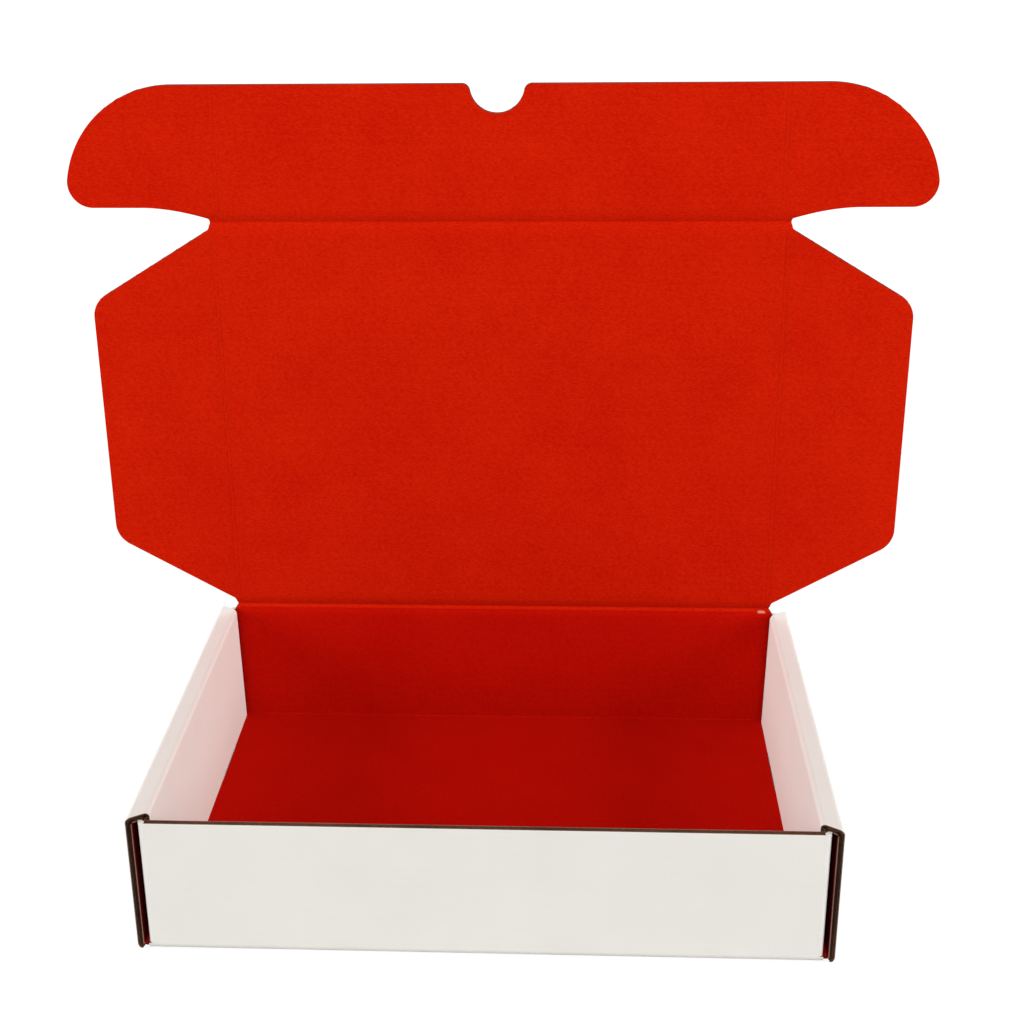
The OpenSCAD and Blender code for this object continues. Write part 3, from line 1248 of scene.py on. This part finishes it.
    def _corner_tab(self, wall_h: float) -> Strip:
        """Fold the tab of the front right corner, under a wall of a given height."""
        s = self.sizes
        t = s.board
        low, high = t + s.tab_play, s.side_h - t - s.tab_play
        shoulder, end = 2 * t - s.face_y, s.tab_len - s.face_y
        ring: Outline = [(low, t - s.face_y), (low, shoulder)]
        ring += fillet((low, shoulder), (low + s.tab_taper, end), (high - s.tab_taper, end), s.tab_r)
        ring += fillet((low + s.tab_taper, end), (high - s.tab_taper, end), (high, shoulder), s.tab_r)
        ring += [(high, shoulder), (wall_h, t - s.face_y)]
        root_red = (s.root_x, t - s.face_y)
        fold = arc((s.corner_x - s.fold_r, s.fold_r - s.face_y), s.fold_r, 270, 360, FOLD_STEP)
        bent = [Station(root_red, (s.root_x, -s.face_y), s.floor_fold_r, wall_h, capped=True)]
        bent += [Station(root_red, w, s.floor_fold_r, wall_h, capped=True) for w in fold]
        bent.append(Station(root_red, (s.corner_x, t - s.face_y), s.floor_fold_r, wall_h, capped=True))
        straight = t + s.tab_swing - s.face_y
        levels = sorted({shoulder, straight, (straight + shoulder) / 2, *(y for _, y in ring if y > shoulder)})
        for y in levels:
            share = between((y - t + s.face_y) / s.tab_swing, 0, 1)
            outer = s.corner_x + (s.tab_out - s.corner_x) * share
            inner = s.root_x + (s.tab_out - t - s.root_x) * share
            bent.append(Station((inner, y), (outer, y), *chord(ring, y)))
        return Strip(Run.Z, bent, wave_along=(-s.wave_at(0), -1), enclosed_painted_shade=True, cap=Face.WHITE)

    def make(self) -> None:
        """Make the tray's pieces."""
        s = self.sizes
        # The tray's red faces take the darker red, which is painted shade.
        board = self.board("tray", deep=True)
        mark = CreaseMark()
        seam = s.hinge_z - s.band

        def press(_along: float, station: Station) -> Point:
            """Press the back wall in beside the lid crease."""
            distance = s.hinge_z - station.white[1]
            return mark.red(distance), mark.white(distance)

        board.add(*self._floor())
        board.add(Strip(Run.X, self._fold(-1)), Strip(Run.X, self._fold(1)))
        board.add(Strip(Run.X, self._wall(-1, [(s.floor_fold_r, s.root_x), (s.front_h, s.root_x)])))
        marked = [s.hinge_z - d for d in self.mark_depths]
        levels = [s.floor_fold_r, *(z for z in marked if z < s.back_h), s.back_h, seam]
        board.add(Strip(Run.X, self._wall(1, [(z, self._hinge_edge(z)) for z in levels]), press=press))
        for strip in self._side_wall():
            board.add(strip, part="right_wall")
            board.add(strip.mirrored(x=-1), part="left_wall")
        for y, height in ((1, s.front_h), (-1, s.back_h)):
            tab = self._corner_tab(height)
            board.add(tab.mirrored(y=y), tab.mirrored(x=-1, y=y))
        self.ride(board.build(), "tray", "tray")


@dataclass(frozen=True)
class Lid(Maker):
    """The lid with its side flaps, and the tuck flap with its ears, standing straight up."""

    mark: CreaseMark = CreaseMark()
    faint: CreaseMark = CreaseMark.faint()
    gaps: Sequence[float] = (1.25, 1.8, 2.5, 3.4, 4.6, 6.2, 9.0)
    across_rows: int = 8
    sweep_rows: int = 10
    crease_crush: float = 0.3

    def _press(self, along: float, station: Station) -> Point:
        """Press the board in beside each of the lid's creases."""
        s = self.sizes
        z = station.white[1]
        x = abs(along)
        upright = s.ear_x if z > s.tuck_z else s.flap_x
        level, side = min(abs(z - s.hinge_z), abs(z - s.tuck_z)), abs(x - upright)
        red = max(self.mark.red(level), self.faint.red(side))
        return red, max(self.mark.white(level), self.faint.white(side))

    def _columns(self, *lines: float) -> list[float]:
        """Give places along the run that are close together beside upright creases."""
        right = [line + way * gap for line in lines for gap in self.gaps for way in (-1, 1)]
        return sorted(side * place for place in right for side in (-1, 1))

    def _levels(self) -> list[float]:
        """Give heights that are close together beside level creases."""
        s = self.sizes
        return [line + way * gap for line in (s.hinge_z, s.tuck_z) for gap in self.gaps for way in (-1, 1)]

    def _panel(self, ring: Outline, low: float, high: float, lines: Sequence[float]) -> Strip:
        """Make a flat upright panel from its outline.

        Args:
            ring: The outline as X and Z.
            low: The lowest level of the panel.
            high: The highest level.
            lines: The X of the upright creases beside it.

        Returns:
            The panel.
        """
        s = self.sizes
        inner = {z for z in (*self._levels(), *(z for _, z in ring)) if low < z < high}
        red, white = s.hinge_y - s.half, s.hinge_y + s.half
        rows = []
        for z in sorted({low, high, *inner}):
            if rows and z - rows[-1].white[1] < LEVEL_STEP:
                continue
            rows.append(Station((red, z), (white, z), *chord(ring, z), s.wave_at(z)))
        return Strip(Run.X, rows, steps=self._columns(*lines), press=self._press)

    def _lid_panel(self) -> Strip:
        """Make the lid between its four creases."""
        s = self.sizes
        x, low, high = s.flap_x - s.band, s.hinge_z + s.band, s.tuck_z - s.band
        return self._panel([(-x, low), (x, low), (x, high), (-x, high)], low, high, [s.flap_x])

    def _flap_ring(self) -> Outline:
        """Give the right side flap's outline, from its lower root round to its upper root."""
        s = self.sizes
        lip = s.lip(s.band)
        roots = (lip, s.hinge_z + s.root_drop), (lip, s.tuck_z - s.root_drop)
        corners = (s.flap_out, s.hinge_z + s.flap_back), (s.flap_out, s.tuck_z - s.flap_front)
        return [
            (s.flap_x, s.hinge_z + s.band + s.crease_gap),
            (lip, s.hinge_z + s.band + s.crease_gap),
            *fillet((lip, s.hinge_z), roots[0], corners[0], s.root_r),
            *fillet(roots[0], corners[0], corners[1], s.flap_r),
            *fillet(corners[0], corners[1], roots[1], s.flap_r),
            *fillet(corners[1], roots[1], (lip, s.tuck_z), s.root_r),
            (lip, s.tuck_z - s.band - s.crease_gap),
            (s.flap_x, s.tuck_z - s.band - s.crease_gap),
        ]

    def _side_flap(self) -> Strip:
        """Make the right side flap outside its crease."""
        s = self.sizes
        ring = self._trimmed(self._flap_ring(), s.flap_x + s.band)
        levels = [z for _, z in ring]
        return self._panel(ring, min(levels), max(levels), [s.flap_x])

    @staticmethod
    def _trimmed(ring: Outline, x: float) -> Outline:
        """Cut an outline off inside an upright line.

        Args:
            ring: A closed outline.
            x: The line.

        Returns:
            The outline of what lies outside the line.
        """
        kept: Outline = []
        for a, b in zip(ring, ring[1:] + ring[:1]):
            if a[0] >= x:
                kept.append(a)
            if (a[0] - x) * (b[0] - x) < 0:
                share = (x - a[0]) / (b[0] - a[0])
                kept.append((x, a[1] + (b[1] - a[1]) * share))
        return kept

    def _tuck_ring(self) -> Outline:
        """Give the outline of the tuck flap's right half, with half of the thumb notch."""
        s = self.sizes
        x, low = s.ear_x - s.band, s.tuck_z + s.band
        reach, drop = s.notch_r + s.notch_shoulder, s.notch_shoulder - s.notch_sink
        side = math.sqrt(reach * reach - drop * drop)
        tilt = math.degrees(math.atan2(drop, side))
        ring = [(0.0, low), (x, low), (x, s.top_z)]
        ring += arc((side, s.top_z - s.notch_shoulder), s.notch_shoulder, 90, 180 - tilt)
        ring += arc((0, s.top_z - s.notch_sink), s.notch_r, -tilt, -90, 3)
        return ring

    def _ear_ring(self) -> Outline:
        """Give the right ear's outline: a small lower corner that runs into the round upper edge."""
        s = self.sizes
        low = (s.ear_tip - s.ear_r, s.tuck_z + s.ear_lift + s.ear_r)
        rise, reach = low[1] - (s.top_z - s.ear_top_r), s.ear_top_r - s.ear_r
        high = (low[0] - math.sqrt(reach * reach - rise * rise), s.top_z - s.ear_top_r)
        meet = math.degrees(math.atan2(rise, low[0] - high[0]))
        steps = [i / self.sweep_rows for i in range(self.sweep_rows + 1)]
        drop = s.ear_lift - s.band - s.ear_slit
        root, top = s.lip(s.band), s.tuck_z + s.ear_lift
        sweep = [(root + s.ear_sweep * k, top - drop * (1 - k) ** 2) for k in steps]
        return [
            (s.ear_x, s.tuck_z + s.band + s.ear_slit),
            *sweep,
            *arc(low, s.ear_r, -90, meet),
            *arc(high, s.ear_top_r, meet, 90, 2),
            (s.ear_x, s.top_z),
        ]

    def _ear(self) -> Strip:
        """Make the right ear outside its crease."""
        s = self.sizes
        ring = self._trimmed(self._ear_ring(), s.ear_x + s.band)
        levels = [z for _, z in ring]
        return self._panel(ring, min(levels), max(levels), [s.ear_x])

    def _level_crease(self, z: float, widths: Callable[[float], float]) -> Strip:
        """Make a crease that runs across the lid.

        Args:
            z: The crease's height.
            widths: Half of its length at a distance above it.

        Returns:
            The strip between the panels that it joins.
        """
        s = self.sizes
        red, white = s.hinge_y - s.half, s.hinge_y + s.half
        rows = [
            Station((red, z + d), (white, z + d), -widths(d), widths(d), s.wave_at(z + d))
            for d in self._across()
        ]
        steps = self._columns(s.flap_x, s.ear_x)
        return Strip(Run.X, rows, steps=steps, press=self._press, crush=self.crease_crush)

    def _across(self) -> list[float]:
        """Give distances across a crease, from one panel to the other."""
        band = self.sizes.band
        return [band * (i / self.across_rows - 1) for i in range(2 * self.across_rows + 1)]

    def _upright_crease(self, x: float, ends: Point) -> Strip:
        """Make the right one of a pair of upright creases.

        Args:
            x: The crease's place.
            ends: The heights at which it starts and ends.

        Returns:
            The strip between the panels that it joins.
        """
        s = self.sizes
        red, white = s.hinge_y - s.half, s.hinge_y + s.half

        def press(along: float, station: Station) -> Point:
            """Press the crease's own line in, and its ends as the level creases beside them."""
            level = min(abs(along - s.hinge_z), abs(along - s.tuck_z))
            side = abs(station.white[0] - x)
            red_depth = max(self.mark.red(level), self.faint.red(side))
            return red_depth, max(self.mark.white(level), self.faint.white(side))

        rows = [Station((x + d, red), (x + d, white), *ends) for d in self._across()]
        return Strip(
            Run.Z, rows, steps=self._levels(), wave_along=(s.wave_at(0), 1), press=press, crush=self.crease_crush,
        )

    def make(self) -> None:
        """Make every moving panel, and the creases that join them."""
        s = self.sizes
        lid = self.board("lid")
        lid.add(self._lid_panel())
        self.ride(lid.build(), "lid", "lid_panel")

        tuck = self.board("tuck_flap")
        ring = self._tuck_ring()
        half = self._panel(ring, s.tuck_z + s.band, s.top_z, [s.ear_x])
        tuck.add(half, half.mirrored(x=-1))
        self.ride(tuck.build(), "tuck_flap", "tuck_flap")

        def lid_ends(d: float) -> float:
            """Give half of the lid crease's length at a distance above its line."""
            if d > -s.crease_gap:
                return s.lip(d)
            slope = (s.root_x - s.crease_out) / (s.hinge_z - s.crease_gap - s.back_h)
            return s.crease_out + (-s.crease_gap - d) * slope

        up = Vector((0, 0, 1))
        crease = self._level_crease(s.hinge_z, lid_ends)
        self._crease("lid_crease", ("tray", "lid"), crease, up, Vector((0, s.hinge_y, s.hinge_z)))
        crease = self._level_crease(s.tuck_z, s.lip)
        self._crease("tuck_crease", ("lid", "tuck_flap"), crease, up, Vector((0, s.hinge_y, s.tuck_z)))
        flap_ends, ear_ends = (s.hinge_z + s.band, s.tuck_z - s.band), (s.tuck_z + s.band, s.top_z)
        for side, word in ((-1, "left"), (1, "right")):
            flap = self.board(f"{word}_side_flap")
            flap.add(self._side_flap().mirrored(x=side))
            self.ride(flap.build(), f"{word}_side_flap", f"{word}_side_flap")
            ear = self.board(f"{word}_ear")
            ear.add(self._ear().mirrored(x=side))
            self.ride(ear.build(), f"{word}_ear", f"{word}_ear")
            crease = self._upright_crease(s.flap_x, flap_ends).mirrored(x=side)
            out = Vector((side, 0, 0))
            bodies = ("lid", f"{word}_side_flap")
            self._crease(f"{word}_side_crease", bodies, crease, out, Vector((side * s.flap_x, s.hinge_y, 0)))
            crease = self._upright_crease(s.ear_x, ear_ends).mirrored(x=side)
            bodies = ("tuck_flap", f"{word}_ear")
            self._crease(f"{word}_ear_crease", bodies, crease, out, Vector((side * s.ear_x, s.hinge_y, 0)))

    def _crease(self, name: str, bodies: tuple[str, str], strip: Strip, way: Vector, middle: Vector) -> None:
        """Make a crease's pieces, which bend between two bodies.

        Args:
            name: The first words of their names.
            bodies: The bodies before and after the crease.
            strip: The crease's strip.
            way: The direction from the first body to the second.
            middle: A point on the crease, in millimetres.
        """
        board = self.board(name)
        board.add(strip)
        band = way * self.sizes.band
        self.bend(board.build(), bodies, middle - band, middle + band)


@dataclass(frozen=True)
class Studio:
    """A pale floor, soft light and the camera at the photograph's angle. Lengths are metres."""

    picture: float = 1024.0
    focal_px: float = 1684.3
    centre_px: Point = (485.9, 536.4)
    camera_at: tuple[float, float, float] = (0.02776, -0.54249, 0.34566)
    look: tuple[float, float, float] = (-0.04996, 0.92052, -0.3875)
    right: tuple[float, float, float] = (0.99872, 0.04934, -0.01154)
    sensor: float = 36.0
    floor_reach: float = 8.0
    floor_colour: Colour = (0.62, 0.62, 0.62)
    floor_lift: float = 0.8
    floor_glow: float = 1.12
    floor_sides: int = 96
    floor_roughness: float = 0.9
    fade: Point = (0.28, 0.75)
    sky_colour: Colour = (1.0, 0.99, 0.975)
    sky_strength: float = 0.22
    lamp_reach: float = 1.75
    lamp_size: float = 1.1
    aim: tuple[float, float, float] = (0.0, 0.0, 0.1)
    lamp_places: tuple[tuple[str, float, float, float], ...] = (
        ("left", 25.5, -75.0, 20.0),
        ("right", 25.5, 75.0, 20.0),
        ("front", 9.6, 0.0, 34.0),
        ("back", 12.0, 180.0, 25.0),
    )

    def camera(self) -> None:
        """Set up the camera."""
        data = bpy.data.cameras.new("camera")
        data.sensor_fit = "HORIZONTAL"
        data.sensor_width = self.sensor
        data.lens = self.focal_px / self.picture * self.sensor
        data.shift_x = (self.picture / 2 - self.centre_px[0]) / self.picture
        data.shift_y = (self.centre_px[1] - self.picture / 2) / self.picture
        data.clip_start, data.clip_end = 0.01, 100.0
        camera = bpy.data.objects.new("camera", data)
        bpy.context.scene.collection.objects.link(camera)
        back = -Vector(self.look).normalized()
        side = Vector(self.right)
        side = (side - back * side.dot(back)).normalized()
        turn = Matrix((side, back.cross(side), back)).transposed().to_4x4()
        camera.matrix_world = Matrix.Translation(self.camera_at) @ turn
        bpy.context.scene.camera = camera

    def world(self) -> None:
        """Light the scene from all round, and show plain white behind it."""
        world = bpy.data.worlds.new("world")
        world.use_nodes = True
        bpy.context.scene.world = world
        tree = world.node_tree
        light, shown = tree.nodes["Background"], tree.nodes.new("ShaderNodeBackground")
        light.inputs["Color"].default_value = (*self.sky_colour, 1)
        light.inputs["Strength"].default_value = self.sky_strength
        shown.inputs["Color"].default_value = (1, 1, 1, 1)
        shown.inputs["Strength"].default_value = 1.0
        seen = tree.nodes.new("ShaderNodeLightPath").outputs["Is Camera Ray"]
        self._blend(tree, seen, light, shown, tree.nodes["World Output"])

    @staticmethod
    def _blend(tree: bpy.types.NodeTree, share: bpy.types.NodeSocket, *ends: bpy.types.Node) -> None:
        """Blend two shaders and send the result to an output.

        Args:
            tree: The tree that they are in.
            share: How much of the second shader shows.
            ends: The first shader, the second one and the output.
        """
        first, second, output = ends
        mix = tree.nodes.new("ShaderNodeMixShader")
        for socket, target in zip((share, first.outputs[0], second.outputs[0]), mix.inputs):
            tree.links.new(socket, target)
        tree.links.new(mix.outputs[0], output.inputs["Surface"])

    def floor(self) -> None:
        """Lay the pale floor, which keeps the box's shadow."""
        bm = bmesh.new()
        bmesh.ops.create_circle(bm, cap_ends=True, segments=self.floor_sides, radius=self.floor_reach)
        mesh = bpy.data.meshes.new("floor")
        bm.to_mesh(mesh)
        bm.free()
        floor = bpy.data.objects.new("floor", mesh)
        bpy.context.scene.collection.objects.link(floor)
        material = bpy.data.materials.new("floor_paper")
        material.use_nodes = True
        tree = material.node_tree
        main = tree.nodes["Principled BSDF"]
        main.inputs["Base Color"].default_value = (*self.floor_colour, 1)
        main.inputs["Roughness"].default_value = self.floor_roughness
        main.inputs["Specular IOR Level"].default_value = 0.0
        lift = tree.nodes.new("ShaderNodeEmission")
        lift.inputs["Strength"].default_value = self.floor_glow
        seen = tree.nodes.new("ShaderNodeLightPath").outputs["Is Camera Ray"]
        place, far = tree.nodes.new("ShaderNodeTexCoord"), tree.nodes.new("ShaderNodeVectorMath")
        far.operation = "LENGTH"
        tree.links.new(place.outputs["Object"], far.inputs[0])
        fade = tree.nodes.new("ShaderNodeMapRange")
        fade.interpolation_type = "SMOOTHSTEP"
        for name, value in zip(("From Min", "From Max", "To Min", "To Max"), (*self.fade, self.floor_lift, 1.0)):
            fade.inputs[name].default_value = value
        tree.links.new(far.outputs["Value"], fade.inputs["Value"])
        share = add_maths(tree, "MULTIPLY", seen, fade.outputs[0])
        self._blend(tree, share, main, lift, tree.nodes["Material Output"])
        mesh.materials.append(material)

    def _lamp(self, name: str, power: float, turn: float, rise: float) -> None:
        """Hang a soft round lamp that points at the box.

        Args:
            name: The lamp's name.
            power: Its power in watts.
            turn: How far it stands to the right of the front, in degrees.
            rise: How high it stands, in degrees.
        """
        data = bpy.data.lights.new(name, "AREA")
        data.shape = "DISK"
        data.size = self.lamp_size
        data.energy = power
        lamp = bpy.data.objects.new(name, data)
        bpy.context.scene.collection.objects.link(lamp)
        turn, rise = math.radians(turn), math.radians(rise)
        away = Vector((math.sin(turn) * math.cos(rise), -math.cos(turn) * math.cos(rise), math.sin(rise)))
        at = Matrix.Translation(Vector(self.aim) + away * self.lamp_reach)
        lamp.matrix_world = at @ away.to_track_quat("Z", "Y").to_matrix().to_4x4()

    def lamps(self) -> None:
        """Hang a lamp on either side, which light the side walls, and weaker ones in front and behind."""
        for name, power, turn, rise in self.lamp_places:
            self._lamp(name, power, turn, rise)

    def build(self) -> None:
        """Set up the whole studio."""
        self.camera()
        self.world()
        self.floor()
        self.lamps()
        bpy.context.scene.view_settings.view_transform = "Standard"


def write_sizes() -> None:
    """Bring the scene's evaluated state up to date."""
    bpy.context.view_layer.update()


def main() -> None:
    """Build the studio and every piece of the box."""
    logging.basicConfig(level=logging.INFO, format="%(name)s: %(message)s")
    Studio().build()
    sizes = Sizes.from_frame(frame["joints"])
    finishes = Finishes.make(Paper(), [(sizes.crease_out - 2.5, sizes.hinge_z - 1.3)])
    tree = FluteTree()
    for maker in (Tray, Lid):
        maker(sizes, finishes, tree).make()
    write_sizes()


if __name__ == "__main__":
    main()
